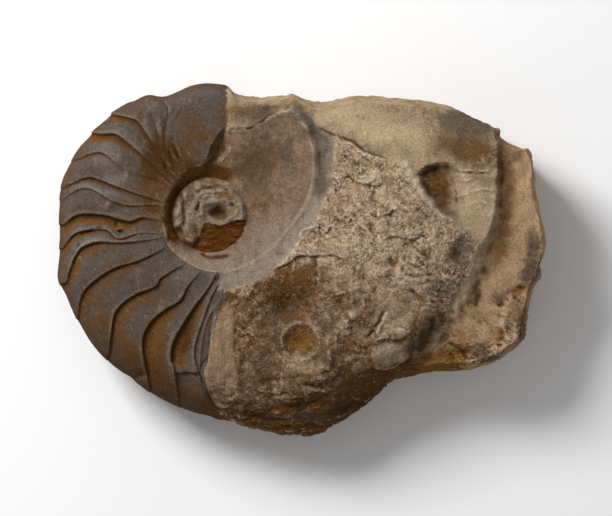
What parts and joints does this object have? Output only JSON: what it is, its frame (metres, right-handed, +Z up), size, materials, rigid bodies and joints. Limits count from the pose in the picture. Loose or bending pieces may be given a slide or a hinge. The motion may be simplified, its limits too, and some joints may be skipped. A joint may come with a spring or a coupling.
{
  "type": "ammonite fossil",
  "caption": "Coiled fossil shell with curved rib lines and a deep umbilicus, half buried in crumbly rock matrix; lies on its flat back.",
  "frame": {"origin": "on the resting plane, under the middle of the outline", "axes": "+X along the longest side, from the coil towards the rock ledge; +Y towards the top edge of the coiled face; +Z up, out of the coiled face"},
  "size_m": [0.3212, 0.2318, 0.0852],
  "materials": {
    "fossil_stone": "matte, rough"
  },
  "bodies": {
    "root": {"ammonite_fossil": "fossil_stone"}
  },
  "joints": []
}
